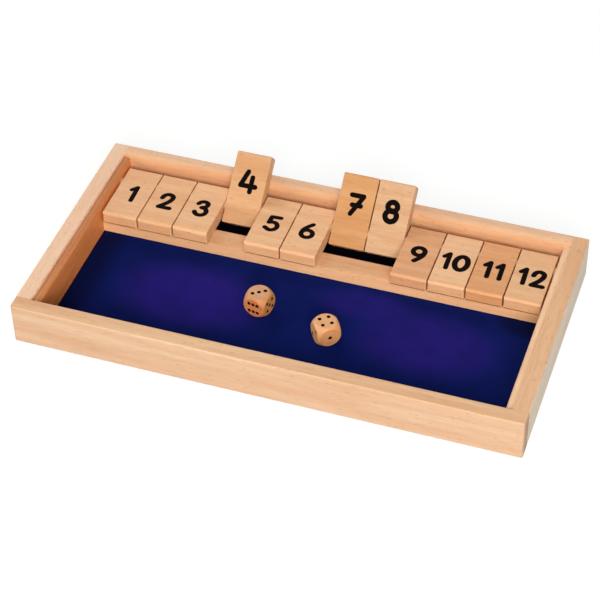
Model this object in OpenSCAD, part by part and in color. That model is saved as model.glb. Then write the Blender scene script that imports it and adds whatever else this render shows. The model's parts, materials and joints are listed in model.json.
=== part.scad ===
// Shut the box game: an open wooden tray with a row of twelve flip tiles on one axle, and two dice.
// The origin lies on the surface that the box stands on, under the middle of the four rails.
// +X runs along the row towards the higher numbers, +Y from the dice tray to the tiles, +Z is up.

/* [Box] */
// Outside length, along the row of tiles
box_l = 340; // [300:1:420]
// Outside width, from the front rail to the back rail
box_w = 177; // [160:1:220]
// Height of the four rails
box_h = 30; // [28:0.5:36]
// Thickness of the four rails
rail_t = 10.5; // [8:0.5:12]
// Rounding of the outside upright corners
corner_r = 2.2; // [0.5:0.1:4]
// Rounding of the outside top edges
rim_r = 0.9; // [0.3:0.1:3]
// Rounding of the outside bottom edges
foot_r = 0.6; // [0.2:0.1:1.5]
// Rounding of the top edges that face the tray
lip_r = 0.8; // [0.2:0.1:1.5]
// Large rounding of the back rail, which the raised tiles lean on
lean_r = 5.5; // [4:0.5:7]

/* [Floor] */
// Thickness of the base board
base_t = 3; // [2:0.5:4]
// How far the base board is let into the foot of each rail
base_lap = 5; // [3:0.5:6]
// Gap round the edge of the base board in its rebate
base_fit = 0.1; // [0.05:0.05:0.3]
// Thickness of the felt lining
felt_t = 1; // [0.6:0.1:2]

/* [Side strips] */
// Thickness of the strip inside each side rail, which carries the end of the axle
strip_t = 4.9; // [4:0.1:7]
// How far the top of the strip lies below the rim
strip_drop = 2.5; // [1:0.5:5]
// Rounding of the strip's top edge
strip_r = 2.5; // [0.5:0.5:3.5]

/* [Tile rest] */
// Width of the batten that the flat tiles lie on
rest_w = 15; // [10:0.5:17]
// Height of the batten above the felt
rest_h = 9.3; // [8:0.1:11]
// How far the batten's front face stands back from the ends of the tiles
rest_setback = 3.2; // [0:0.1:5]
// Rounding of the batten's top edges
rest_r = 1.4; // [0.2:0.1:2]

/* [Tiles] */
// Length of a tile, from its front end to its back end
tile_l = 50.2; // [44:0.1:54]
// Thickness of a tile
tile_t = 10; // [8:0.5:11]
// Gap between the back end of a flat tile and the back rail
back_gap = 5; // [4:0.5:7]
// Rounding of a tile's front end, above and below
tile_nose_r = 2; // [0.5:0.1:4.5]
// Rounding of a tile's back end, above and below
tile_tail_r = 1; // [0.3:0.1:3]
// Rounding of a tile's corners, seen from above
tile_corner_r = 1; // [0.3:0.1:3]
// Rounding of a tile's long edges
tile_arris_r = 0.4; // [0.2:0.1:1]
// Gap between a flat tile and the batten under it
seat_gap = 0.1; // [0.05:0.05:0.5]
// Gap between a raised tile and the back rail
lean_gap = 0.25; // [0.15:0.05:0.5]
// Tiles that are flipped up
raised_tiles = [4, 7, 8]; // [1:1:12]

/* [Axle] */
// Diameter of the axle rod
axle_d = 4; // [3:0.1:5]
// Distance from the axle to the back end of a tile
axle_inset = 12; // [10:0.5:13]
// Radial clearance of a tile on the axle
tile_fit = 0.06; // [0.02:0.01:0.1]
// Radial clearance of the rod in the strips, and of a washer on the rod
rod_fit = 0.02; // [0.01:0.01:0.05]
// Gap between each end of the rod and the rail that covers it
rod_end_gap = 0.5; // [0.2:0.1:2]
// Outside diameter of a spacer washer
washer_d = 8; // [7:0.1:9]
// Thickness of a washer between two tiles
washer_t = 0.8; // [0.3:0.1:1.5]
// Space between each end tile and its strip, filled by a thicker washer
end_gap = 1.6; // [1:0.05:4]
// Play on each side of a washer
side_play = 0.04; // [0.02:0.01:0.15]

/* [Dice] */
// Size of a die, across its flat faces
die_size = 16; // [12:0.5:18]
// Diameter of the ball that rounds off the corners of a die
die_ball = 21.2; // [20:0.2:24]
// Distance from the middle of a face to a pip, along the face's sides
pip_step = 3.05; // [2.6:0.05:3.6]
// Diameter of a pip
pip_d = 2.5; // [1.5:0.1:3]
// Depth of a pip
pip_depth = 0.5; // [0.2:0.1:0.8]
// Gap between a die and the felt
die_gap = 0.05; // [0.02:0.01:0.2]
// Where the first die lies, from the middle of the box
die_1_at = [-25.5, -16.8]; // [-60:0.1:60]
// Turn of the first die, in degrees
die_1_turn = -11.5; // [-180:0.5:180]
// Where the second die lies, from the middle of the box
die_2_at = [24.5, -29.4]; // [-60:0.1:60]
// Turn of the second die, in degrees
die_2_turn = 38.5; // [-180:0.5:180]

/* [Hidden] */
$fn = 64;
// Overshoot of a cut past the solid that it cuts
cut = 1;

// Number of tiles, as the game is played
tiles = 12;

// Inside faces of the rails, and the clear length between the two strips
side_in = box_l / 2 - rail_t;
back_in = box_w / 2 - rail_t;
tray_l = 2 * (side_in - strip_t);

// Levels, from the base board up
floor_z = base_t + felt_t;
rest_top = floor_z + rest_h;
tile_z = rest_top + seat_gap;
strip_top = box_h - strip_drop;

// The row of tiles fills the clear length, less the washers
tile_gap = washer_t + 2 * side_play;
tile_w = (tray_l - 2 * end_gap - (tiles - 1) * tile_gap) / tiles;
tile_front = back_in - back_gap - tile_l;
axle_y = back_in - back_gap - axle_inset;
axle_z = tile_z + tile_t / 2;

// A raised tile turns until its back face meets the rounded edge of the back rail.
// The edge's centre lies lean_reach from the axle, and the face has to pass lean_off from the axle.
lean_dy = back_in + lean_r - axle_y;
lean_dz = box_h - lean_r - axle_z;
lean_reach = sqrt(lean_dy * lean_dy + lean_dz * lean_dz);
lean_off = tile_t / 2 + lean_r + lean_gap;
raise_angle = 90 + acos(lean_off / lean_reach) - atan2(lean_dz, lean_dy);
echo(raise_angle = raise_angle, axle_y = axle_y, axle_z = axle_z, tile_w = tile_w);

function tile_x(n) = -tray_l / 2 + end_gap + (n - 1) * (tile_w + tile_gap);
function is_raised(n) = len([for (t = raised_tiles) if (t == n) t]) > 0;

// Where the pips of a face with n pips lie, in steps from its middle
function pips(n) =
    n == 1 ? [[0, 0]] :
    n == 2 ? [[1, -1], [-1, 1]] :
    n == 3 ? [[-1, -1], [0, 0], [1, 1]] :
    n == 4 ? [[-1, -1], [1, -1], [1, 1], [-1, 1]] :
    n == 5 ? [[-1, -1], [1, -1], [1, 1], [-1, 1], [0, 0]] :
    [for (i = [-1, 0, 1], j = [-1, 1]) [i, j]];

// What is outside an arc of radius r in the corner at the origin, or nothing for a sharp corner
module corner_waste(r) {
    if (r > 0)
        difference() {
            translate([-cut, -cut])
                square(r + cut);
            translate([r, r])
                circle(r);
        }
}

// A rectangle with a radius for each corner: low left, low right, high right, high left
module soft_rect(size, r) {
    difference() {
        square(size);
        corner_waste(r[0]);
        translate([size.x, 0])
            mirror([1, 0])
                corner_waste(r[1]);
        translate(size)
            rotate(180)
                corner_waste(r[2]);
        translate([0, size.y])
            mirror([0, 1])
                corner_waste(r[3]);
    }
}

// Pushes a profile drawn in Y and Z along +X
module along_x(length) {
    rotate([90, 0, 90])
        linear_extrude(length)
            children();
}

// Pushes a profile drawn in X and Z along +Y
module along_y(length) {
    translate([0, length, 0])
        rotate([90, 0, 0])
            linear_extrude(length)
                children();
}

// The outside of the box as one block, with its edges rounded
module outside() {
    edges = [foot_r, foot_r, rim_r, rim_r];
    intersection() {
        translate([-box_l / 2, -box_w / 2, 0])
            linear_extrude(box_h)
                soft_rect([box_l, box_w], corner_r * [1, 1, 1, 1]);
        translate([-box_l / 2, -box_w / 2, 0])
            along_y(box_w)
                soft_rect([box_l, box_h], edges);
        translate([-box_l / 2, -box_w / 2, 0])
            along_x(box_l)
                soft_rect([box_w, box_h], edges);
    }
}

// The rebate that the base board sits in
module base_rebate() {
    grow = base_lap + base_fit;
    translate([-side_in - grow, -back_in - grow, -cut])
        cube([2 * (side_in + grow), 2 * (back_in + grow), base_t + cut]);
}

// Rounds off an inside top edge that runs along X at y, with the rail on its far side
module lip_waste(y, r) {
    translate([-side_in, y, box_h])
        along_x(2 * side_in)
            mirror([0, 1])
                corner_waste(r);
}

module front_rail() {
    color("burlywood")
        difference() {
            intersection() {
                outside();
                translate([-box_l / 2, -box_w / 2, 0])
                    cube([box_l, rail_t, box_h]);
            }
            mirror([0, 1, 0])
                lip_waste(back_in, lip_r);
            base_rebate();
        }
}

module back_rail() {
    color("burlywood")
        difference() {
            intersection() {
                outside();
                translate([-side_in, back_in, 0])
                    cube([2 * side_in, rail_t, box_h]);
            }
            lip_waste(back_in, lean_r);
            base_rebate();
        }
}

// The left rail, which runs from behind the front rail to the back of the box
module side_rail() {
    difference() {
        intersection() {
            outside();
            translate([-box_l / 2, -back_in, 0])
                cube([rail_t, 2 * back_in + rail_t, box_h]);
        }
        translate([-side_in, -back_in, box_h])
            along_y(2 * back_in + lean_r)
                rotate(180)
                    corner_waste(lip_r);
        base_rebate();
    }
}

module left_rail() {
    color("burlywood")
        side_rail();
}

module right_rail() {
    color("burlywood")
        mirror([1, 0, 0])
            side_rail();
}

// The left strip, with its back end cut to the curve of the back rail and a hole for the axle
module side_strip() {
    difference() {
        translate([-side_in, -back_in, base_t])
            along_y(2 * back_in + lean_r)
                soft_rect([strip_t, strip_top - base_t], [0, 0, strip_r, 0]);
        back_block();
        translate([-side_in - cut, axle_y, axle_z])
            rotate([0, 90, 0])
                cylinder(h = strip_t + 2 * cut, r = axle_d / 2 + rod_fit);
    }
}

// The space that the back rail fills, past its ends
module back_block() {
    difference() {
        translate([-side_in - cut, back_in, -cut])
            cube([2 * (side_in + cut), rail_t, box_h + cut]);
        translate([-side_in - cut, back_in, box_h])
            along_x(2 * (side_in + cut))
                mirror([0, 1])
                    corner_waste(lean_r);
    }
}

module left_strip() {
    color("tan")
        side_strip();
}

module right_strip() {
    color("tan")
        mirror([1, 0, 0])
            side_strip();
}

module base_board() {
    color("wheat")
        translate([-side_in - base_lap, -back_in - base_lap, 0])
            cube([2 * (side_in + base_lap), 2 * (back_in + base_lap), base_t]);
}

module felt_lining() {
    color("midnightblue")
        translate([-tray_l / 2, -back_in, base_t])
            cube([tray_l, 2 * back_in, felt_t]);
}

module tile_rest() {
    color("tan")
        translate([-tray_l / 2, tile_front + rest_setback, floor_z])
            along_x(tray_l)
                soft_rect([rest_w, rest_h], [0, 0, rest_r, rest_r]);
}

module axle_rod() {
    length = 2 * (side_in - rod_end_gap);
    color("silver")
        translate([-length / 2, axle_y, axle_z])
            rotate([0, 90, 0])
                cylinder(h = length, d = axle_d);
}

module washer(x, thickness) {
    translate([x, axle_y, axle_z])
        rotate([0, 90, 0])
            difference() {
                cylinder(h = thickness, d = washer_d);
                translate([0, 0, -cut])
                    cylinder(h = thickness + 2 * cut, r = axle_d / 2 + rod_fit);
            }
}

module spacer_washers() {
    end_t = end_gap - 2 * side_play;
    color("ivory") {
        washer(-tray_l / 2 + side_play, end_t);
        for (n = [1 : tiles - 1])
            washer(tile_x(n) + tile_w + side_play, washer_t);
        washer(tray_l / 2 - side_play - end_t, end_t);
    }
}

// A tile lying flat, with its front left lower corner at the origin
module tile_block() {
    difference() {
        intersection() {
            along_x(tile_w)
                soft_rect([tile_l, tile_t], [tile_nose_r, tile_tail_r, tile_tail_r, tile_nose_r]);
            along_y(tile_l)
                soft_rect([tile_w, tile_t], tile_arris_r * [1, 1, 1, 1]);
            linear_extrude(tile_t)
                soft_rect([tile_w, tile_l], tile_corner_r * [1, 1, 1, 1]);
        }
        translate([-cut, tile_l - axle_inset, tile_t / 2])
            rotate([0, 90, 0])
                cylinder(h = tile_w + 2 * cut, r = axle_d / 2 + tile_fit);
    }
}

// Tile n where it lies, flipped up if it is one of the raised ones
module tile(n) {
    color("navajowhite")
        translate([tile_x(n), axle_y, axle_z])
            rotate([is_raised(n) ? -raise_angle : 0, 0, 0])
                translate([0, axle_inset - tile_l, -tile_t / 2])
                    tile_block();
}

// Hollows for the n pips of the face that looks along +Z
module face_pips(n) {
    ball_r = (pip_d * pip_d / 4 + pip_depth * pip_depth) / (2 * pip_depth);
    for (p = pips(n))
        translate([p.x * pip_step, p.y * pip_step, die_size / 2 - pip_depth + ball_r])
            sphere(ball_r);
}

// A die round the origin, with three pips up, six towards -Y and five towards +X
module die_block() {
    difference() {
        intersection() {
            cube(die_size, center = true);
            sphere(d = die_ball);
        }
        face_pips(3);
        rotate([180, 0, 0])
            face_pips(4);
        rotate([90, 0, 0])
            face_pips(6);
        rotate([-90, 0, 0])
            face_pips(1);
        rotate([0, 90, 0])
            face_pips(5);
        rotate([0, -90, 0])
            face_pips(2);
    }
}

module die_1() {
    color("moccasin")
        translate([die_1_at.x, die_1_at.y, floor_z + die_gap + die_size / 2])
            rotate([0, 0, die_1_turn])
                die_block();
}

module die_2() {
    color("moccasin")
        translate([die_2_at.x, die_2_at.y, floor_z + die_gap + die_size / 2])
            rotate([180, 0, die_2_turn])
                die_block();
}

front_rail();
back_rail();
left_rail();
right_rail();
left_strip();
right_strip();
base_board();
felt_lining();
tile_rest();
axle_rod();
spacer_washers();
for (n = [1 : tiles])
    tile(n);
die_1();
die_2();
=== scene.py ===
# Shut the box game: beech tray and flip tiles, felt floor and two wooden dice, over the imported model
from functools import partial
import json
import math
import bmesh
import bpy
from mathutils import Matrix, Vector
from mathutils.geometry import delaunay_2d_cdt


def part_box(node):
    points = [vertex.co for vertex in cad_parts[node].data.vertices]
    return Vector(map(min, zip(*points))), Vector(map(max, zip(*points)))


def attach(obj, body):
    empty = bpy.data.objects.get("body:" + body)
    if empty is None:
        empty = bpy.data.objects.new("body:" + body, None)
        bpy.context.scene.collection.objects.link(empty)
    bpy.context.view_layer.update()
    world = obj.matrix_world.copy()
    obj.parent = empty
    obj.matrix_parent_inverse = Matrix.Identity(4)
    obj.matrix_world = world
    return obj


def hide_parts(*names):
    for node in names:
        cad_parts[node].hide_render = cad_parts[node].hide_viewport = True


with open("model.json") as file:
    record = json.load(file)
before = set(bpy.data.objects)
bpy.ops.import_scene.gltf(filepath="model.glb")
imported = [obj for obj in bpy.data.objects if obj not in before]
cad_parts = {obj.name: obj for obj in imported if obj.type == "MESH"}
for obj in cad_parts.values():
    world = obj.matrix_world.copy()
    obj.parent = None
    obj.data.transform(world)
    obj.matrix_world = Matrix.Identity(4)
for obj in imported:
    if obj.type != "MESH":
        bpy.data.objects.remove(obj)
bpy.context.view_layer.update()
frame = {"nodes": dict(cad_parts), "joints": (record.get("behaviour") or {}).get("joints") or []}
nodes = frame["nodes"]
mm = 0.001
axes = {"X": Vector((1, 0, 0)), "Y": Vector((0, 1, 0)), "Z": Vector((0, 0, 1))}
print("frame loaded:", len(nodes), "nodes")


# Camera, worked out from the perspective of the photograph

cameraView = {
    "azimuth": 19.62,           # degrees round to the right of the front
    "elevation": 43.08,         # degrees above the table
    "roll": -1.30,              # degrees
    "distance": 1278.65 * mm,
    "aim": Vector((0.63, -10.76, 15.0)) * mm,
    "lens": 117.42,             # mm
    "frameWidth": 36.0,         # mm
    "clip": (0.05, 20.0),       # metres
}


def towards(azimuth, elevation):
    # Unit vector from the box to something at this azimuth and elevation, in degrees
    around, above = math.radians(azimuth), math.radians(elevation)
    return Vector((math.sin(around) * math.cos(above), -math.cos(around) * math.cos(above), math.sin(above)))


def makeCamera(view):
    data = bpy.data.cameras.new("photoCamera")
    data.lens = view["lens"]
    data.sensor_width = view["frameWidth"]
    data.clip_start, data.clip_end = view["clip"]
    camera = bpy.data.objects.new("photoCamera", data)
    bpy.context.scene.collection.objects.link(camera)
    back = towards(view["azimuth"], view["elevation"])
    camera.location = view["aim"] + back * view["distance"]
    level = (-back).to_track_quat("-Z", "Y").to_matrix()
    camera.rotation_euler = (level @ Matrix.Rotation(math.radians(view["roll"]), 3, "Z")).to_euler()
    bpy.context.scene.camera = camera


makeCamera(cameraView)
print("camera placed")


# Helpers for colours, node trees and meshes

def linear(hexColour):
    channels = [int(hexColour[i:i + 2], 16) / 255 for i in (1, 3, 5)]
    return tuple(c / 12.92 if c <= 0.04045 else ((c + 0.055) / 1.055) ** 2.4 for c in channels) + (1,)


def addNode(tree, kind, inputs=None, **settings):
    # An input that is given a socket is linked to it, and any other is set to the value
    node = tree.nodes.new(kind)
    for name, value in settings.items():
        setattr(node, name, value)
    for name, value in (inputs or {}).items():
        if isinstance(value, bpy.types.NodeSocket):
            tree.links.new(value, node.inputs[name])
        else:
            node.inputs[name].default_value = value
    return node


# Sockets of a Mix node that mixes colours
mixShare, mixFirst, mixSecond, mixResult = 0, 6, 7, 2


def newMaterial(name):
    material = bpy.data.materials.new(name)
    material.use_nodes = True
    material.node_tree.nodes.clear()
    return material, partial(addNode, material.node_tree)


def meshPiece(name, mesh, material=None):
    piece = bpy.data.objects.new(name, mesh)
    bpy.context.scene.collection.objects.link(piece)
    if material:
        mesh.materials.clear()
        mesh.materials.append(material)
    return piece


def paint(node, material):
    slots = nodes[node].data.materials
    slots.clear()
    slots.append(material)


# Beech, planed, sanded and waxed: a pale pinkish tan with hardly any contrast between its growth
# bands, short soft strokes where the rays are cut, a few brown flecks, and a darker, pored look
# where the board is cut across the grain

beechFigure = {                 # widths across the grain and lengths along it, in mm
    "bands": (8.0, 130.0),
    "strokes": (1.5, 9.0),
    "fibres": (0.5, 14.0),      # coarser than real fibre, so that it shows
    "flecks": (1.6, 4.5),       # of the cells that hold them
    "pores": (0.35, 6.0),
    "askew": (1.0, 1.7, 0.6),   # the way that a board's shift moves the patterns
    "strokeShade": 0.07,        # share by which a stroke is darker
    "fibreShade": 0.05,         # share by which a fibre is darker or lighter
    "fleck": "#B87D50",
    "fleckShare": 0.38,         # how far a fleck covers the wood
    "fleckless": 0.6,           # share of the cells that hold no fleck
    "fleckReach": 0.36,         # radius of the largest fleck, in cells
    "cut": (0.7, 0.92),         # how dark the pores make a board that is cut across
    "paintedFaceShades": [],                # painted light and shade on faces: direction that a face looks in, where the colour starts and is full, colour
    "roughness": 0.45,
    "roughSpread": (-0.05, 0.08),
    "gloss": 0.5,
    "coat": 0.08,
    "coatRoughness": 0.35,
    "bumpHeight": 0.02,         # mm
    "turn": 0.0,                # degrees by which a loose piece lies turned, and its grain with it
}


def grainScale(grain, size):
    # Scale of a pattern that is so wide across the grain and so long along it
    across, along = size
    scale = Vector((1, 1, 1)) / (across * mm)
    scale["XYZ".index(grain)] = 1 / (along * mm)
    return scale


def patternSpaces(add, coordinate, figure):
    # One space for each pattern, drawn out along the grain and shifted, so that no two boards are alike
    offset = Vector([figure["shift"] * part for part in figure["askew"]])
    spaces = {}
    for pattern in ("bands", "strokes", "fibres", "flecks", "pores"):
        scale = grainScale(figure["grain"], figure[pattern])
        spaces[pattern] = add("ShaderNodeMapping", {"Vector": coordinate, "Location": offset,
                                                    "Scale": scale}).outputs[0]
    return spaces


def bandedWood(add, space, fibres, figure):
    bands = add("ShaderNodeTexNoise", {"Vector": space["bands"], "Scale": 1.0, "Detail": 2.0,
                                       "Roughness": 0.5, "Distortion": 0.8})
    strokes = add("ShaderNodeTexNoise", {"Vector": space["strokes"], "Scale": 1.0, "Detail": 1.5,
                                         "Distortion": 0.5})
    bandShare = add("ShaderNodeMapRange", {"Value": bands.outputs[0], "From Min": 0.3, "From Max": 0.7})
    wood = add("ShaderNodeMix", {mixShare: bandShare.outputs[0], mixFirst: linear(figure["light"]),
                                 mixSecond: linear(figure["dark"])}, data_type="RGBA").outputs[mixResult]
    strokeTone = add("ShaderNodeMapRange", {"Value": strokes.outputs[0], "From Min": 0.5, "From Max": 0.68,
                                            "To Min": 1.0, "To Max": 1 - figure["strokeShade"]})
    fibreTone = add("ShaderNodeMapRange", {"Value": fibres.outputs[0], "From Min": 0.3, "From Max": 0.7,
                                           "To Min": 1 - figure["fibreShade"],
                                           "To Max": 1 + figure["fibreShade"]})
    tone = add("ShaderNodeMath", {0: strokeTone.outputs[0], 1: fibreTone.outputs[0]}, operation="MULTIPLY")
    return add("ShaderNodeVectorMath", {0: wood, "Scale": tone.outputs[0]}, operation="SCALE").outputs[0]


def fleckCover(add, space, figure):
    # A fleck is the middle of a cell, and most cells have none
    cells = add("ShaderNodeTexVoronoi", {"Vector": space["flecks"], "Scale": 1.0})
    chance = add("ShaderNodeSeparateColor", {"Color": cells.outputs["Color"]})
    reach = add("ShaderNodeMapRange", {"Value": chance.outputs[0], "From Min": figure["fleckless"],
                                       "To Max": figure["fleckReach"]})
    inside = add("ShaderNodeMath", {0: reach.outputs[0], 1: cells.outputs["Distance"]}, operation="SUBTRACT")
    return add("ShaderNodeMapRange", {"Value": inside.outputs[0], "From Max": 0.12,
                                      "To Max": figure["fleckShare"]}).outputs[0]


def cutAcross(add, wood, normal, space, figure):
    # The board is cut across where its surface faces along the grain
    grain = axes[figure["grain"]]
    facing = add("ShaderNodeVectorMath", {0: normal, 1: grain}, operation="DOT_PRODUCT").outputs["Value"]
    square = add("ShaderNodeMath", {0: facing, 1: facing}, operation="MULTIPLY")
    endGrain = add("ShaderNodeMapRange", {"Value": square.outputs[0], "From Min": 0.35, "From Max": 0.95})
    pores = add("ShaderNodeTexNoise", {"Vector": space["pores"], "Scale": 1.0, "Detail": 2.0})
    darkest, palest = figure["cut"]
    poreTone = add("ShaderNodeMapRange", {"Value": pores.outputs[0], "From Min": 0.35, "From Max": 0.65,
                                          "To Min": darkest, "To Max": palest}).outputs[0]
    cutWood = add("ShaderNodeVectorMath", {0: wood, "Scale": poreTone}, operation="SCALE").outputs[0]
    return add("ShaderNodeMix", {mixShare: endGrain.outputs[0], mixFirst: wood, mixSecond: cutWood},
               data_type="RGBA").outputs[mixResult]


def tintFaces(add, wood, normal, paintedFaceShades):
    # Painted light and shade: the faces that look in each given direction are multiplied by a colour, lighter
    # or darker for how the light falls on them
    for direction, start, full, shadeColour in paintedFaceShades:
        along = Vector(direction).normalized()
        facing = add("ShaderNodeVectorMath", {0: normal, 1: along}, operation="DOT_PRODUCT")
        share = add("ShaderNodeMapRange", {"Value": facing.outputs["Value"], "From Min": start,
                                           "From Max": full})
        wood = add("ShaderNodeMix", {mixShare: share.outputs[0], mixFirst: wood, mixSecond: linear(shadeColour)},
                   data_type="RGBA", blend_type="MULTIPLY").outputs[mixResult]
    return wood


def paintPips(add, wood, figure):
    # The mesh stores how far each point lies from a pip's middle, in pip radii. Paint takes no wax
    away = add("ShaderNodeAttribute", attribute_name="pipReach")
    bare = add("ShaderNodeMapRange", {"Value": away.outputs["Fac"], "From Min": 0.92, "From Max": 1.04})
    wood = add("ShaderNodeMix", {mixShare: bare.outputs[0], mixFirst: linear(figure["pipPaint"]),
                                 mixSecond: wood}, data_type="RGBA").outputs[mixResult]
    coat = add("ShaderNodeMath", {0: bare.outputs[0], 1: figure["coat"]}, operation="MULTIPLY").outputs[0]
    gloss = add("ShaderNodeMath", {0: bare.outputs[0], 1: figure["gloss"]}, operation="MULTIPLY").outputs[0]
    return wood, coat, gloss


def beech(name, look):
    figure = dict(beechFigure, **look)
    material, add = newMaterial(name)
    place = add("ShaderNodeTexCoord")
    coordinate, normal = place.outputs["Object"], place.outputs["Normal"]
    if figure["turn"]:
        spin = Vector((0, 0, -math.radians(figure["turn"])))
        coordinate = add("ShaderNodeMapping", {"Vector": coordinate, "Rotation": spin}).outputs[0]
        normal = add("ShaderNodeMapping", {"Vector": normal, "Rotation": spin},
                     vector_type="NORMAL").outputs[0]
    space = patternSpaces(add, coordinate, figure)
    fibres = add("ShaderNodeTexNoise", {"Vector": space["fibres"], "Scale": 1.0, "Detail": 3.0,
                                        "Roughness": 0.6})
    wood = bandedWood(add, space, fibres, figure)
    flecks = fleckCover(add, space, figure)
    wood = add("ShaderNodeMix", {mixShare: flecks, mixFirst: wood, mixSecond: linear(figure["fleck"])},
               data_type="RGBA").outputs[mixResult]
    wood = cutAcross(add, wood, normal, space, figure)
    wood = tintFaces(add, wood, normal, figure["paintedFaceShades"])
    coat, gloss = figure["coat"], figure["gloss"]
    if "pipPaint" in figure:
        wood, coat, gloss = paintPips(add, wood, figure)

    smoothest, roughest = (figure["roughness"] + spread for spread in figure["roughSpread"])
    rough = add("ShaderNodeMapRange", {"Value": fibres.outputs[0], "To Min": smoothest, "To Max": roughest})
    relief = add("ShaderNodeMath", {0: fibres.outputs[0], 1: flecks}, operation="SUBTRACT")
    bump = add("ShaderNodeBump", {"Height": relief.outputs[0], "Strength": 0.5,
                                  "Distance": figure["bumpHeight"] * mm})
    shader = add("ShaderNodeBsdfPrincipled", {
        "Base Color": wood, "Roughness": rough.outputs[0], "Normal": bump.outputs[0],
        "Specular IOR Level": gloss, "Coat Weight": coat, "Coat Roughness": figure["coatRoughness"]})
    add("ShaderNodeOutputMaterial", {"Surface": shader.outputs[0]})
    return material


railWood = {
    "finish": {"roughness": 0.6, "gloss": 0.2, "coat": 0.0},
    "boards": {
        # Painted light and shade: the front rail's top is painted a shade warmer and darker
        "front": {"grain": "X", "shift": 3.1, "light": "#E5C09C", "dark": "#DAAA85",
                  "paintedFaceShades": [((0, 0, 1), 0.0, 1.0, "#FFFBF2")]},
        # Painted shade on the back rail's inner slope, which faces the front softbox
        "back": {"grain": "X", "shift": 8.4, "light": "#ECC39E", "dark": "#E5B38D",
                 "paintedFaceShades": [((0, -1, 0), 0.0, 0.8, "#EAD8C4")]},
        "left": {"grain": "Y", "shift": 13.7, "light": "#F6D2B3", "dark": "#EDC09C"},
        # The right rail's pale, whitened base is a painted reflection of the white surroundings on its outer
        # face, and its top is painted darker again
        "right": {"grain": "Y", "shift": 19.0, "light": "#FFF2DC", "dark": "#FAE0C4",
                  "paintedFaceShades": [((0, 0, 1), 0.0, 1.0, "#E5C2A6")]},
    },
}
stripWood = {
    # The left strip is a darker, redder, shaded copy of the beech, and its top is painted darker still:
    # painted shade
    "left": {"grain": "Y", "shift": 17.9, "light": "#EB9755", "dark": "#DC8042", "fleck": "#8E5228",
             "paintedFaceShades": [((0, 0, 1), 0.0, 0.9, "#D6DCE0")]},
    "right": {"grain": "Y", "shift": 20.2, "light": "#F4CCA4", "dark": "#E6B688"},
}
# Painted shade: the batten's top is a shade darker, and its rounded front top edge is painted darker to take
# out a highlight
restWood = {"grain": "X", "shift": 27.3, "light": "#F1BA89", "dark": "#E6A775", "fleck": "#AE744A",
            "roughness": 0.6, "coat": 0.0,
            "paintedFaceShades": [((0, 0, 1), 0.0, 0.9, "#EEEEEE"), ((0, -1, 1), 0.75, 0.95, "#EEE4DC")]}
tileWood = {
    "finish": {"grain": "X", "fleck": "#B07443", "cut": (0.78, 1.0), "gloss": 0.3, "coat": 0.03},
    "firstShift": 30.0,
    "shiftStep": 7.3,
    # Painted shade: the lower face and the front end of each tile are a little darker, and a flat tile has a
    # painted shadow under its front end
    "lowerFaceShade": "#EAEAEA",
    "frontEndShade": "#F7F2ED",
    "noseShadow": "#C6A27C",          # painted shadow on the lower edge of the front end, on tiles that mostly lie flat
    "tones": {
        1: ("#EEBA8B", "#E5AA7B"), 2: ("#ECB887", "#E2A676"), 3: ("#EDBB8C", "#E4AA7A"),
        4: ("#E8B27F", "#DDA16D"), 5: ("#EDBA8C", "#E3AB7B"), 6: ("#EFBD8E", "#E6AC7E"),
        7: ("#E1A56B", "#D5945A"), 8: ("#E7B98C", "#DCA678"), 9: ("#E4AA7D", "#D89B6B"),
        10: ("#F0BF93", "#E6AE7F"), 11: ("#E4A674", "#D89663"), 12: ("#EAB98B", "#E0A87A"),
    },
}


def tileFrame(number):
    # The tile's own directions, read from its mesh: it may lie flat or stand raised
    joint = next(j for j in frame["joints"] if j["child"] == f"tile_{number}")
    axle = Vector(joint["pos_m"])
    mesh = nodes[f"tile_{number}"].data
    across = [p for p in mesh.polygons if abs(p.normal.x) < 0.01]
    normal = max(across, key=lambda p: p.area).normal
    front = normal.cross(axes["X"]).normalized()
    middle = sum((v.co for v in mesh.vertices), Vector()) / len(mesh.vertices)
    if (middle - axle).dot(front) < 0:
        front = -front
    top = front.cross(axes["X"])
    reach = max((v.co - axle).dot(front) for v in mesh.vertices)
    half = max((v.co - axle).dot(top) for v in mesh.vertices)
    return axle, front, top, reach, half


for side, look in railWood["boards"].items():
    paint(f"{side}_rail", beech(f"beech_{side}_rail", {**look, **railWood["finish"]}))
for side, look in stripWood.items():
    paint(f"{side}_strip", beech(f"beech_{side}_strip", look))
paint("tile_rest", beech("beech_tile_rest", restWood))
for number, (light, dark) in tileWood["tones"].items():
    _, front, top, _, _ = tileFrame(number)
    # Painted shade on each tile's lower face and front end, and a painted shadow under the front end of a
    # tile that lies flat
    paintedFaceShades = [(-top, 0.85, 0.98, tileWood["lowerFaceShade"]), (front, 0.9, 1.0, tileWood["frontEndShade"])]
    if top.z > 0.9:
        paintedFaceShades.append((front - top, 0.72, 0.88, tileWood["noseShadow"]))
    look = {"light": light, "dark": dark, "paintedFaceShades": paintedFaceShades, **tileWood["finish"],
            "shift": tileWood["firstShift"] + tileWood["shiftStep"] * number}
    paint(f"tile_{number}", beech(f"beech_tile_{number}", look))
print("beech painted")


# Birch plywood: rotary-cut face veneer, paler and broader in its figure than the beech, and unwaxed

boardWood = {"grain": "X", "shift": 51.0, "light": "#DDBB8C", "dark": "#CDA473", "fleck": "#B98E5F",
             "bands": (16.0, 220.0), "flecks": (3.0, 9.0), "roughness": 0.6, "coat": 0.0}
paint("base_board", beech("birch_plywood", boardWood))


# Bright drawn steel: fine lines along the rod from the drawing die give it one long soft highlight

rodSteel = {
    "colour": "#B9B7B3",
    "lines": (0.12, 40.0),      # mm across and along the rod
    "roughness": (0.16, 0.38),
    "bumpHeight": 0.01,         # mm
}


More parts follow.
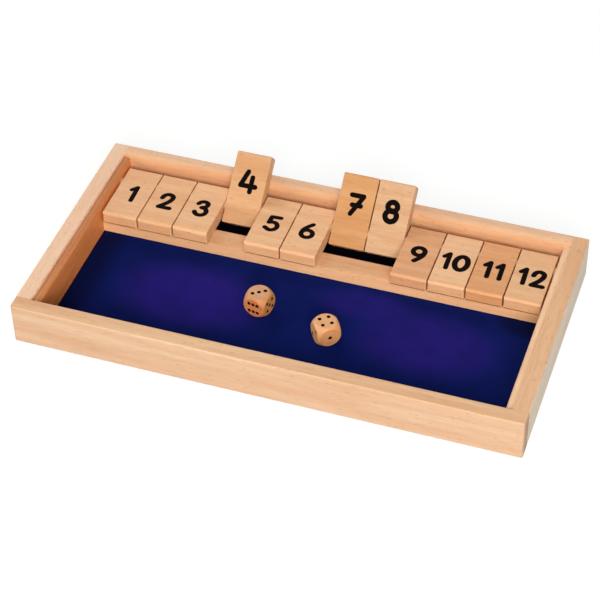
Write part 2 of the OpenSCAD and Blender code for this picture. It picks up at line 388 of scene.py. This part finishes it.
def drawnSteel(look):
    material, add = newMaterial("drawn_steel")
    place = add("ShaderNodeTexCoord")
    along = add("ShaderNodeMapping", {"Vector": place.outputs["Object"],
                                      "Scale": grainScale("X", look["lines"])})
    lines = add("ShaderNodeTexNoise", {"Vector": along.outputs[0], "Scale": 1.0, "Detail": 3.0})
    smoothest, roughest = look["roughness"]
    rough = add("ShaderNodeMapRange", {"Value": lines.outputs[0], "To Min": smoothest, "To Max": roughest})
    bump = add("ShaderNodeBump", {"Height": lines.outputs[0], "Strength": 0.3,
                                  "Distance": look["bumpHeight"] * mm})
    shader = add("ShaderNodeBsdfPrincipled", {"Base Color": linear(look["colour"]), "Metallic": 1.0,
                                              "Roughness": rough.outputs[0], "Normal": bump.outputs[0]})
    add("ShaderNodeOutputMaterial", {"Surface": shader.outputs[0]})
    return material


paint("axle_rod", drawnSteel(rodSteel))


# Vulcanised fibre, punched from sheet: matt and horny, tan with darker specks

washerFibre = {
    "light": "#D8C29A",
    "dark": "#BFA173",
    "speck": 0.6,               # mm
    "roughness": 0.62,
}


def fibreSheet(look):
    material, add = newMaterial("vulcanised_fibre")
    place = add("ShaderNodeTexCoord")
    specks = add("ShaderNodeTexNoise", {"Vector": place.outputs["Object"], "Scale": 1 / (look["speck"] * mm),
                                        "Detail": 3.0})
    share = add("ShaderNodeMapRange", {"Value": specks.outputs[0], "From Min": 0.35, "From Max": 0.65})
    colour = add("ShaderNodeMix", {mixShare: share.outputs[0], mixFirst: linear(look["dark"]),
                                   mixSecond: linear(look["light"])}, data_type="RGBA")
    shader = add("ShaderNodeBsdfPrincipled", {"Base Color": colour.outputs[mixResult],
                                              "Roughness": look["roughness"]})
    add("ShaderNodeOutputMaterial", {"Surface": shader.outputs[0]})
    return material


paint("spacer_washers", fibreSheet(washerFibre))
print("board, rod and washers painted")


# Pressed wool felt, dyed deep blue and glued flat: dead matt, cloudy navy and violet and darker in patches,
# with painted shadow along the left wall, in the back right corner and behind the batten

feltSheet = {                   # lengths in mm
    "gridStep": 2.5,
    "swell": 0.05,              # how far the pressed surface rolls up and down
    "waves": (19.0, 23.0, 41.0),
    "rim": 0.25,                # how far the cut edge rounds over
    "navy": "#0A1858",
    "violet": "#261A74",
    # Dark colour for the darker patches and for the painted shadow
    "darkNapAndShadow": "#060E36",
    # Painted shadow behind the batten
    "slotShadow": "#02020A",
    "cloud": 60.0,
    "cloudLow": 0.78,           # least share of the violet inside a violet cloud
    "patch": 15.0,
    "patchShade": 0.24,         # most that a patch turns to the dark colour
    # Middle, half width, half depth and strength of each cloud
    "violetClouds": [(-74.0, -18.0, 45.0, 27.0, 1.0), (87.0, -15.0, 42.0, 26.0, 0.8),
               (42.0, 8.0, 34.0, 13.0, 0.7)],
    # Painted shadow along the left wall and in the back right corner
    "paintedShadow": [(-162.0, 0.0, 26.0, 110.0, 0.9), (146.0, 26.0, 20.0, 16.0, 0.9)],
    "slotShadowReach": (4.0, 14.0),  # mm behind the front of the batten where the painted shadow starts and is full
    "nap": 1.1,                 # coarser than real wool, so that it shows
    "napHeight": 0.12,
    "roughness": 0.95,
    "gloss": 0.05,
    "sheen": "#2A2AA0",
    "sheenWeight": 0.06,
    "sheenRoughness": 0.5,
}


def pressedFelt(look):
    material, add = newMaterial("pressed_wool_felt")
    place = add("ShaderNodeTexCoord").outputs["Object"]
    clouds = add("ShaderNodeTexNoise", {"Vector": place, "Scale": 1 / (look["cloud"] * mm), "Detail": 2.0,
                                        "Distortion": 0.3})
    patches = add("ShaderNodeTexNoise", {"Vector": place, "Scale": 1 / (look["patch"] * mm), "Detail": 3.0})
    nap = add("ShaderNodeTexNoise", {"Vector": place, "Scale": 1 / (look["nap"] * mm), "Detail": 4.0,
                                     "Roughness": 0.7, "Distortion": 1.2})
    # In a few broad clouds it is more violet than elsewhere
    violetClouds = add("ShaderNodeAttribute", attribute_name="violetClouds").outputs["Fac"]
    cloudy = add("ShaderNodeMapRange", {"Value": clouds.outputs[0], "From Min": 0.3, "From Max": 0.6,
                                        "To Min": look["cloudLow"]})
    dye = add("ShaderNodeMath", {0: violetClouds, 1: cloudy.outputs[0]}, operation="MULTIPLY")
    colour = add("ShaderNodeMix", {mixShare: dye.outputs[0], mixFirst: linear(look["navy"]),
                                   mixSecond: linear(look["violet"])}, data_type="RGBA")
    lie = add("ShaderNodeMath", {0: patches.outputs[0], 1: nap.outputs[0]}, operation="MULTIPLY")
    dark = add("ShaderNodeMapRange", {"Value": lie.outputs[0], "From Min": 0.16, "From Max": 0.32,
                                      "To Min": look["patchShade"], "To Max": 0.0})
    # Painted shadow along the left wall and in the back right corner, as dark as the darkest patches
    paintedShadow = add("ShaderNodeAttribute", attribute_name="paintedShadow").outputs["Fac"]
    dark = add("ShaderNodeMath", {0: dark.outputs[0], 1: paintedShadow}, operation="MAXIMUM")
    colour = add("ShaderNodeMix", {mixShare: dark.outputs[0], mixFirst: colour.outputs[mixResult],
                                   mixSecond: linear(look["darkNapAndShadow"])}, data_type="RGBA")
    # Behind the batten a painted shadow turns it nearly black
    behind = add("ShaderNodeAttribute", attribute_name="behindBatten").outputs["Fac"]
    near, far = look["slotShadowReach"]
    slotShadowShare = add("ShaderNodeMapRange", {"Value": behind, "From Min": near, "From Max": far})
    colour = add("ShaderNodeMix", {mixShare: slotShadowShare.outputs[0], mixFirst: colour.outputs[mixResult],
                                   mixSecond: linear(look["slotShadow"])}, data_type="RGBA")
    bump = add("ShaderNodeBump", {"Height": nap.outputs[0], "Strength": 0.6,
                                  "Distance": look["napHeight"] * mm})
    shader = add("ShaderNodeBsdfPrincipled", {
        "Base Color": colour.outputs[mixResult], "Roughness": look["roughness"], "Normal": bump.outputs[0],
        "Specular IOR Level": look["gloss"], "Sheen Weight": look["sheenWeight"],
        "Sheen Roughness": look["sheenRoughness"], "Sheen Tint": linear(look["sheen"])})
    add("ShaderNodeOutputMaterial", {"Surface": shader.outputs[0]})
    return material


def cloudShare(x, y, clouds):
    # A cloud is full up to a share of its half width, and fades to nothing a little outside it
    full, faded = 0.6, 1.4
    shares = [0]
    for middleX, middleY, wide, deep, strength in clouds:
        away = math.hypot((x - middleX) / wide, (y - middleY) / deep)
        t = min(max((faded - away) / (faded - full), 0), 1)
        shares.append(strength * t * t * (3 - 2 * t))
    return max(shares)


def feltMesh(look):
    low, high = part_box("felt_lining")
    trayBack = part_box("tile_rest")[0].y
    size, middle = high - low, (low + high) / 2
    step, swell, rim = look["gridStep"] * mm, look["swell"] * mm, look["rim"] * mm
    waves = [length * mm for length in look["waves"]]
    shape = bmesh.new()
    bmesh.ops.create_grid(shape, x_segments=round(size.x / step), y_segments=round(size.y / step), size=0.5)
    for vertex in shape.verts:
        x, y = vertex.co.x * size.x, vertex.co.y * size.y
        roll = math.sin(x / waves[0]) * math.cos(y / waves[1]) + math.sin((x + 2 * y) / waves[2])
        drop = swell * (1 - roll / 2) / 2
        if vertex.is_boundary:
            drop += rim
        vertex.co = Vector((middle.x + x, middle.y + y, high.z - drop))
    skirt = bmesh.ops.extrude_edge_only(shape, edges=[e for e in shape.edges if e.is_boundary])
    for vertex in skirt["geom"]:
        if isinstance(vertex, bmesh.types.BMVert):
            vertex.co.z = low.z
    bmesh.ops.contextual_create(shape, geom=[e for e in shape.edges if e.is_boundary])
    bmesh.ops.recalc_face_normals(shape, faces=shape.faces)
    for face in shape.faces:
        face.smooth = abs(face.normal.z) > 0.7
    mesh = bpy.data.meshes.new("felt")
    shape.to_mesh(mesh)
    shape.free()
    for name in ("violetClouds", "paintedShadow"):
        shares = mesh.attributes.new(name, "FLOAT", "POINT").data
        for vertex, share in zip(mesh.vertices, shares):
            x, y, _ = vertex.co / mm
            share.value = cloudShare(x, y, look[name])
    behind = mesh.attributes.new("behindBatten", "FLOAT", "POINT").data
    for vertex, reach in zip(mesh.vertices, behind):
        reach.value = (vertex.co.y - trayBack) / mm
    return mesh, size


feltShape, feltSize = feltMesh(feltSheet)
felt = meshPiece("felt", feltShape, pressedFelt(feltSheet))
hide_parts("felt_lining")
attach(felt, "box")
print("felt laid")


# Numbers: screen print, drawn with a round pen. Each stroke is a smooth line through its points, in mm

penGlyphs = {
    "0": (3.9, [("ring", 0, 0, 4.2, 6.6)]),
    "1": (3.35, [[(-1.9, 3.7), (1.1, 7.0)], [(1.1, 7.0), (1.5, -7.1)]]),
    "2": (3.6, [[(-4.3, 2.4), (-3.3, 5.4), (-0.4, 6.8), (2.5, 5.4), (2.8, 2.4), (0.8, -1.8), (-3.7, -7.0)],
                [(-3.7, -7.0), (4.2, -7.0)]]),
    "3": (3.5, [[(-3.8, 4.1), (-2.6, 6.1), (-0.1, 6.9), (2.3, 5.9), (2.8, 3.9), (1.9, 1.8), (-0.4, 0.7)],
                [(-0.4, 0.7), (2.6, -0.1), (4.1, -3.0), (3.1, -6.0), (0.3, -7.2), (-2.4, -6.4),
                 (-3.8, -4.5)]]),
    "4": (3.4, [[(-1.4, 7.0), (-5.1, -2.8)], [(-5.1, -2.8), (5.4, -2.7)], [(2.4, 3.5), (2.2, -6.5)]]),
    "5": (3.4, [[(3.8, 6.5), (-2.4, 6.2)], [(-2.4, 6.2), (-2.7, 0.3)],
                [(-2.7, 0.3), (-0.2, 1.1), (2.6, 0.3), (4.0, -2.7), (2.9, -5.7), (-0.2, -7.0),
                 (-3.9, -5.2)]]),
    "6": (3.4, [[(1.2, 6.7), (-1.6, 3.5), (-3.6, 0.1), (-4.1, -3.3)], ("ring", -0.2, -3.3, 3.9, 3.7)]),
    "7": (3.35, [[(-3.6, 6.3), (4.7, 6.3)], [(4.7, 6.3), (-2.2, -6.5)], [(-2.2, -0.4), (3.8, -0.4)]]),
    "8": (3.75, [("ring", -0.1, 3.6, 3.3, 3.1), ("ring", -0.1, -2.8, 3.9, 3.7)]),
    "9": (3.6, [("ring", 0.0, 2.8, 3.9, 3.8), [(3.9, 2.8), (3.3, -0.6), (1.4, -4.0), (-0.9, -6.8)]]),
}
numberPrint = {
    # Each digit of a two-digit number, mm to the right of the middle, and share of its width
    "spacing": {10: (("1", -6.3, 1.0), ("0", 4.1, 1.0)),
                11: (("1", -4.0, 1.0), ("1", 4.3, 1.0)),
                12: (("1", -5.7, 1.0), ("2", 5.1, 0.93))},
    "upperInset": 24.3 * mm,    # from the tile's front end to the middle of the upper face's number
    "lowerInset": 20.7 * mm,    # the same on the lower face, which shows when a tile is up
    "stray": {1: 0.15, 4: 0.45, 9: -0.5, 10: -0.6, 11: -0.85},  # mm by which a number sits higher
    "proud": 0.04 * mm,
    "sunk": 0.03 * mm,
    "capPoints": 14,
    "curvePoints": 7,
    "ringSteps": 24,
    "weld": 1e-5,               # mm between points that are taken as one
    "flatAngle": 0.5,           # degrees within which triangles are joined
}


def smoothLine(points, count):
    # A Catmull-Rom line: it passes through every point
    if len(points) < 3:
        return points
    ends = [2 * points[0] - points[1], *points, 2 * points[-1] - points[-2]]
    line = []
    for a, b, c, d in zip(ends, ends[1:], ends[2:], ends[3:]):
        for step in range(count):
            t = step / count
            line.append(0.5 * (2 * b + (c - a) * t + (2 * a - 5 * b + 4 * c - d) * t ** 2
                               + (3 * b - a - 3 * c + d) * t ** 3))
    return line + [points[-1]]


def ringHalves(x, y, across, up, steps):
    # A closed ring is drawn as two halves whose round ends overlap
    for start in (-90, 90):
        turns = [math.radians(start + 180 * i / steps) for i in range(steps + 1)]
        yield [Vector((x + across * math.cos(t), y + up * math.sin(t))) for t in turns]


def penOutline(line, pen, capPoints):
    sides = []
    for i, point in enumerate(line):
        along = (line[min(i + 1, len(line) - 1)] - line[max(i - 1, 0)]).normalized()
        sides.append((point, Vector((-along.y, along.x)) * pen / 2))
    left = [point + side for point, side in sides]
    right = [point - side for point, side in sides]

    def cap(point, side):
        turns = [math.pi * i / capPoints for i in range(1, capPoints)]
        return [point + Matrix.Rotation(-t, 2) @ side for t in turns]

    return (left + cap(*sides[-1]) + right[::-1] + cap(sides[0][0], -sides[0][1]))[::-1]


def numberOutlines(number, look):
    layout = look["spacing"].get(number, ((str(number), 0.0, 1.0),))
    stray = look["stray"].get(number, 0.0)
    for glyph, offset, narrow in layout:
        pen, strokes = penGlyphs[glyph]
        for stroke in strokes:
            if stroke[0] == "ring":
                lines = ringHalves(*stroke[1:], look["ringSteps"])
            else:
                lines = [smoothLine([Vector(p) for p in stroke], look["curvePoints"])]
            for line in lines:
                placed = [Vector((p.x * narrow + offset, p.y + stray)) for p in line]
                yield penOutline(placed, pen, look["capPoints"])


def inkFaces(number, look):
    # The strokes are joined into one flat shape: every triangle that lies inside any stroke
    points, outlines = [], []
    for outline in numberOutlines(number, look):
        outlines.append(list(range(len(points), len(points) + len(outline))))
        points += outline
    corners, _, triangles, _, _, owners = delaunay_2d_cdt(points, [], outlines, 0, look["weld"])
    return corners, [t for t, owner in zip(triangles, owners) if owner]


def rimEdges(triangles):
    # The edges that one triangle alone has, each in that triangle's own direction
    directed = {(t[i - 1], t[i]) for t in triangles for i in range(3)}
    return [(t[i - 1], t[i]) for t in triangles for i in range(3) if (t[i], t[i - 1]) not in directed]


def inkMesh(number, look, faces):
    corners, triangles = inkFaces(number, look)
    shape = bmesh.new()
    for matrix in faces:
        upper, under = ([shape.verts.new(matrix @ Vector((c.x * mm, c.y * mm, height))) for c in corners]
                        for height in (look["proud"], -look["sunk"]))
        for a, b, c in triangles:
            shape.faces.new((upper[a], upper[b], upper[c]))
            shape.faces.new((under[c], under[b], under[a]))
        for a, b in rimEdges(triangles):
            shape.faces.new((upper[b], upper[a], under[a], under[b]))
    loose = [v for v in shape.verts if not v.link_faces]
    bmesh.ops.delete(shape, geom=loose, context="VERTS")
    bmesh.ops.dissolve_limit(shape, angle_limit=math.radians(look["flatAngle"]), verts=shape.verts,
                             edges=shape.edges)
    bmesh.ops.recalc_face_normals(shape, faces=shape.faces)
    mesh = bpy.data.meshes.new(f"number_{number}")
    shape.to_mesh(mesh)
    shape.free()
    return mesh


def faceMatrix(middle, up, normal):
    right = up.cross(normal)
    return Matrix.Translation(middle) @ Matrix((right, up, normal)).transposed().to_4x4()


# Printing ink, screened on: carbon black with a warm cast, matt, taking up the fibres under it

printInk = {
    "colour": "#080403",
    "thin": "#160C08",
    "fibres": (0.7, 9.0),       # mm across and along the tile's grain
    "bumpHeight": 0.02,         # mm
    "roughness": 0.75,
    "gloss": 0.04,
}


def blackInk(look):
    material, add = newMaterial("screen_print_ink")
    place = add("ShaderNodeTexCoord")
    along = add("ShaderNodeMapping", {"Vector": place.outputs["Object"],
                                      "Scale": grainScale("X", look["fibres"])})
    fibres = add("ShaderNodeTexNoise", {"Vector": along.outputs[0], "Scale": 1.0, "Detail": 3.0})
    share = add("ShaderNodeMapRange", {"Value": fibres.outputs[0], "From Min": 0.5, "From Max": 0.8})
    colour = add("ShaderNodeMix", {mixShare: share.outputs[0], mixFirst: linear(look["colour"]),
                                   mixSecond: linear(look["thin"])}, data_type="RGBA")
    bump = add("ShaderNodeBump", {"Height": fibres.outputs[0], "Strength": 0.4,
                                  "Distance": look["bumpHeight"] * mm})
    shader = add("ShaderNodeBsdfPrincipled", {
        "Base Color": colour.outputs[mixResult], "Normal": bump.outputs[0], "Roughness": look["roughness"],
        "Specular IOR Level": look["gloss"]})
    add("ShaderNodeOutputMaterial", {"Surface": shader.outputs[0]})
    return material


ink = blackInk(printInk)
for number in tileWood["tones"]:
    axle, front, top, reach, half = tileFrame(number)
    upper = faceMatrix(axle + front * (reach - numberPrint["upperInset"]) + top * half, -front, top)
    lower = faceMatrix(axle + front * (reach - numberPrint["lowerInset"]) - top * half, front, -top)
    printed = meshPiece(f"tile_{number}_numbers", inkMesh(number, numberPrint, (upper, lower)), ink)
    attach(printed, f"tile_{number}")
print("numbers printed")


# Dice: one tree makes them from a cube, whose corners a ball cuts off and whose pips are drilled

dieShape = {
    "ballShare": 21.2 / 16.0,   # the ball's diameter over the die's size
    "softness": 0.035,          # how softly the flats run into the ball
    "pipStep": 3.05,            # mm from a face's middle to its pips
    "pipWidth": 2.6,            # mm, with the paint that runs over the rim
    "pipDepth": 0.5,            # mm
    "gridLines": 97,            # along each edge of the cube
}
dieFaces = {"+Z": 3, "-Z": 4, "-Y": 6, "+Y": 1, "+X": 5, "-X": 2}  # opposite faces add up to seven
pipLayouts = {                  # in steps from the middle of the face
    1: [(0, 0)],
    2: [(1, -1), (-1, 1)],
    3: [(-1, -1), (0, 0), (1, 1)],
    4: [(-1, -1), (1, -1), (1, 1), (-1, 1)],
    5: [(-1, -1), (1, -1), (1, 1), (-1, 1), (0, 0)],
    6: [(i, j) for i in (-1, 0, 1) for j in (-1, 1)],
}


def buildDieTree():
    tree = bpy.data.node_groups.new("die_from_ball_and_cube", "GeometryNodeTree")
    add = partial(addNode, tree)
    tree.interface.new_socket("Pip middles", in_out="INPUT", socket_type="NodeSocketGeometry")
    for name in ("Size", "Ball radius", "Softness", "Pip radius", "Pip depth"):
        tree.interface.new_socket(name, in_out="INPUT", socket_type="NodeSocketFloat")
    tree.interface.new_socket("Grid lines", in_out="INPUT", socket_type="NodeSocketInt")
    tree.interface.new_socket("Material", in_out="INPUT", socket_type="NodeSocketMaterial")
    tree.interface.new_socket("Die", in_out="OUTPUT", socket_type="NodeSocketGeometry")
    given = add("NodeGroupInput").outputs

    # The cube's points are pulled in to the ball, with a soft edge between flat and ball
    size = add("ShaderNodeCombineXYZ", {0: given["Size"], 1: given["Size"], 2: given["Size"]})
    cube = add("GeometryNodeMeshCube", {"Size": size.outputs[0], "Vertices X": given["Grid lines"],
                                        "Vertices Y": given["Grid lines"], "Vertices Z": given["Grid lines"]})
    place = add("GeometryNodeInputPosition").outputs[0]
    distance = add("ShaderNodeVectorMath", {0: place}, operation="LENGTH").outputs["Value"]
    ball = add("ShaderNodeMath", {0: given["Ball radius"], 1: distance}, operation="DIVIDE")
    share = add("ShaderNodeMath", {0: 1.0, 1: ball.outputs[0], 2: given["Softness"]}, operation="SMOOTH_MIN")
    pulled = add("ShaderNodeVectorMath", {0: place, "Scale": share.outputs[0]}, operation="SCALE").outputs[0]
    rounded = add("GeometryNodeSetPosition", {"Geometry": cube.outputs["Mesh"], "Position": pulled})

    # Each point stores how far the nearest pip's middle is, in pip radii
    nearest = add("GeometryNodeProximity", {"Target": given["Pip middles"]}, target_element="POINTS")
    away = nearest.outputs["Distance"]
    reach = add("ShaderNodeMath", {0: away, 1: given["Pip radius"]}, operation="DIVIDE")
    marked = add("GeometryNodeStoreNamedAttribute",
                 {"Geometry": rounded.outputs[0], "Name": "pipReach", "Value": reach.outputs[0]},
                 data_type="FLOAT", domain="POINT")

    # A pip is the cap of a ball as wide and deep as the pip: dip = sqrt(r2 - away2) - (r - depth)
    radiusSquare = add("ShaderNodeMath", {0: given["Pip radius"], 1: 2.0}, operation="POWER").outputs[0]
    squares = add("ShaderNodeMath", {0: given["Pip depth"], 1: given["Pip depth"], 2: radiusSquare},
                  operation="MULTIPLY_ADD").outputs[0]
    double = add("ShaderNodeMath", {0: given["Pip depth"], 1: 2.0}, operation="MULTIPLY").outputs[0]
    drill = add("ShaderNodeMath", {0: squares, 1: double}, operation="DIVIDE").outputs[0]
    drillSquare = add("ShaderNodeMath", {0: drill, 1: 2.0}, operation="POWER")
    awaySquare = add("ShaderNodeMath", {0: away, 1: 2.0}, operation="POWER")
    under = add("ShaderNodeMath", {0: drillSquare.outputs[0], 1: awaySquare.outputs[0]}, operation="SUBTRACT")
    height = add("ShaderNodeMath", {0: under.outputs[0], 1: 0.5}, operation="POWER")
    offset = add("ShaderNodeMath", {0: drill, 1: given["Pip depth"]}, operation="SUBTRACT")
    dip = add("ShaderNodeMath", {0: offset.outputs[0], 1: height.outputs[0]}, operation="SUBTRACT")
    inner = add("ShaderNodeMath", {0: dip.outputs[0], 1: 0.0}, operation="MINIMUM")
    normal = add("GeometryNodeInputNormal")
    inward = add("ShaderNodeVectorMath", {0: normal.outputs[0], "Scale": inner.outputs[0]}, operation="SCALE")
    drilled = add("GeometryNodeSetPosition", {"Geometry": marked.outputs[0], "Offset": inward.outputs[0]})
    smooth = add("GeometryNodeSetShadeSmooth", {"Geometry": drilled.outputs[0]})
    real = add("GeometryNodeRealizeInstances", {"Geometry": smooth.outputs[0]})
    dressed = add("GeometryNodeSetMaterial", {"Geometry": real.outputs[0], "Material": given["Material"]})
    add("NodeGroupOutput", {"Die": dressed.outputs[0]})
    return tree


def pipPoints(size, step):
    turns = {"+Z": Matrix.Identity(3), "-Z": Matrix.Rotation(math.pi, 3, "X"),
             "-Y": Matrix.Rotation(math.pi / 2, 3, "X"), "+Y": Matrix.Rotation(-math.pi / 2, 3, "X"),
             "+X": Matrix.Rotation(math.pi / 2, 3, "Y"), "-X": Matrix.Rotation(-math.pi / 2, 3, "Y")}
    return [turns[side] @ Vector((i * step, j * step, size / 2))
            for side, count in dieFaces.items() for i, j in pipLayouts[count]]


def setInput(modifier, name, value):
    sockets = modifier.node_group.interface.items_tree
    modifier[next(s.identifier for s in sockets if s.name == name and s.in_out == "INPUT")] = value


def evaluatedMesh(obj):
    bpy.context.view_layer.update()
    graph = bpy.context.evaluated_depsgraph_get()
    return bpy.data.meshes.new_from_object(obj.evaluated_get(graph), preserve_all_data_layers=True,
                                           depsgraph=graph)


# Tumbled and waxed beech, with dark brown paint in the drilled pips. The first die is cut from browner
# wood than the second

dieWood = {
    "finish": {"fleck": "#9A6236", "pipPaint": "#2A0A04", "roughness": 0.45, "gloss": 0.3, "coat": 0.06},
    "flipped": ["die_2"],       # lies with its -Z face up
    "dice": {
        # The face tints are painted light and shade: each face of a die is made lighter, darker or warmer for
        # how the light falls on it
        "die_1": {"grain": "X", "turn": -11.5, "shift": 58.5, "light": "#E2AC80", "dark": "#D29462",
                  "paintedFaceShades": [((0, 0, 1), 0.0, 1.0, "#F0F2F6"), ((0, -1, 0), 0.0, 1.0, "#F2CBAE"),
                            ((1, 0, 0), 0.0, 1.0, "#FFEAB0")]},
        "die_2": {"grain": "Y", "turn": 38.5, "shift": 108.5, "light": "#F2BA86", "dark": "#E4A56C",
                  "paintedFaceShades": [((0, 0, 1), 0.0, 1.0, "#F4F5F9"), ((0, -1, 0), 0.0, 1.0, "#FFEEDC"),
                            ((-1, 0, 0), 0.0, 1.0, "#F0EAE6")]},
    },
}

dieTree = buildDieTree()
for name, look in dieWood["dice"].items():
    low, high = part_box(name)
    size = high.z - low.z
    middles = bpy.data.meshes.new(name + "_pips")
    middles.from_pydata(pipPoints(size, dieShape["pipStep"] * mm), [], [])
    maker = meshPiece(name + "_maker", middles)
    modifier = maker.modifiers.new("die", "NODES")
    modifier.node_group = dieTree
    wood = beech("waxed_beech_" + name, {**look, **dieWood["finish"]})
    inputs = {"Size": size, "Ball radius": size / 2 * dieShape["ballShare"], "Softness": dieShape["softness"],
              "Pip radius": dieShape["pipWidth"] / 2 * mm, "Pip depth": dieShape["pipDepth"] * mm,
              "Grid lines": dieShape["gridLines"], "Material": wood}
    for socketName, value in inputs.items():
        setInput(modifier, socketName, value)
    mesh = evaluatedMesh(maker)
    bpy.data.objects.remove(maker)
    over = Matrix.Rotation(math.pi, 4, "X") if name in dieWood["flipped"] else Matrix.Identity(4)
    turned = Matrix.Rotation(math.radians(look["turn"]), 4, "Z") @ over
    mesh.transform(Matrix.Translation((low + high) / 2) @ turned)
    die = meshPiece(name + "_wood", mesh)
    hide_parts(name)
    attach(die, name)
print("dice turned")


# Studio: a white sweep, a large softbox a little to the right of the front, three weaker ones low at
# the sides and behind, and soft light from everywhere. The camera, reflections and glass see white.

studio = {
    "worldLight": 0.225,
    "lamps": {
        "frontSoftbox": {"azimuth": 20, "elevation": 33, "distance": 2.1, "size": 1.3, "power": 43.0},
        "leftSoftbox": {"azimuth": -75, "elevation": 12, "distance": 2.1, "size": 0.9, "power": 15.0},
        "rightSoftbox": {"azimuth": 50, "elevation": 12, "distance": 2.1, "size": 0.9, "power": 6.0},
        "backSoftbox": {"azimuth": -130, "elevation": 45, "distance": 2.1, "size": 1.2, "power": 9.5},
    },
    "floorColour": "#8C8B8A",
    "floorGlow": 0.8,
    "floorReach": 6.0,          # metres each way
    "floorDrop": 0.2 * mm,      # under the rails' feet, so that no faces share a plane
}


def seenWhite(add):
    # 1 where the camera, a reflection or glass looks straight at it, else 0
    path = add("ShaderNodeLightPath").outputs
    seen = add("ShaderNodeMath", {0: path["Is Camera Ray"], 1: path["Is Glossy Ray"]}, operation="MAXIMUM")
    seen = add("ShaderNodeMath", {0: seen.outputs[0], 1: path["Is Transmission Ray"]}, operation="MAXIMUM")
    return seen.outputs[0]


def makeWorld(look):
    world = bpy.data.worlds.new("studio")
    bpy.context.scene.world = world
    world.use_nodes = True
    world.node_tree.nodes.clear()
    add = partial(addNode, world.node_tree)
    strength = add("ShaderNodeMapRange", {"Value": seenWhite(add), "To Min": look["worldLight"],
                                          "To Max": 1.0}).outputs[0]
    sky = add("ShaderNodeBackground", {"Color": (1, 1, 1, 1), "Strength": strength})
    add("ShaderNodeOutputWorld", {"Surface": sky.outputs[0]})


def makeFloor(look):
    reach = look["floorReach"]
    mesh = bpy.data.meshes.new("floor")
    mesh.from_pydata([(-reach, -reach, 0), (reach, -reach, 0), (reach, reach, 0), (-reach, reach, 0)], [],
                     [(0, 1, 2, 3)])
    mesh.transform(Matrix.Translation((0, 0, -look["floorDrop"])))
    material, add = newMaterial("paper_sweep")
    matt = add("ShaderNodeBsdfDiffuse", {"Color": linear(look["floorColour"])})
    glow = add("ShaderNodeMath", {0: seenWhite(add), 1: look["floorGlow"]}, operation="MULTIPLY")
    light = add("ShaderNodeEmission", {"Color": (1, 1, 1, 1), "Strength": glow.outputs[0]})
    both = add("ShaderNodeAddShader", {0: matt.outputs[0], 1: light.outputs[0]})
    add("ShaderNodeOutputMaterial", {"Surface": both.outputs[0]})
    meshPiece("floor", mesh, material)


def makeLamp(name, look):
    data = bpy.data.lights.new(name, "AREA")
    data.shape = "DISK"
    data.size = look["size"]
    data.energy = look["power"]
    lamp = bpy.data.objects.new(name, data)
    beam = towards(look["azimuth"], look["elevation"])
    lamp.location = beam * look["distance"]
    lamp.rotation_euler = (-beam).to_track_quat("-Z", "Y").to_euler()
    bpy.context.scene.collection.objects.link(lamp)


makeWorld(studio)
makeFloor(studio)
for name, look in studio["lamps"].items():
    makeLamp(name, look)
bpy.context.scene.view_settings.view_transform = "Standard"
print("studio lit")
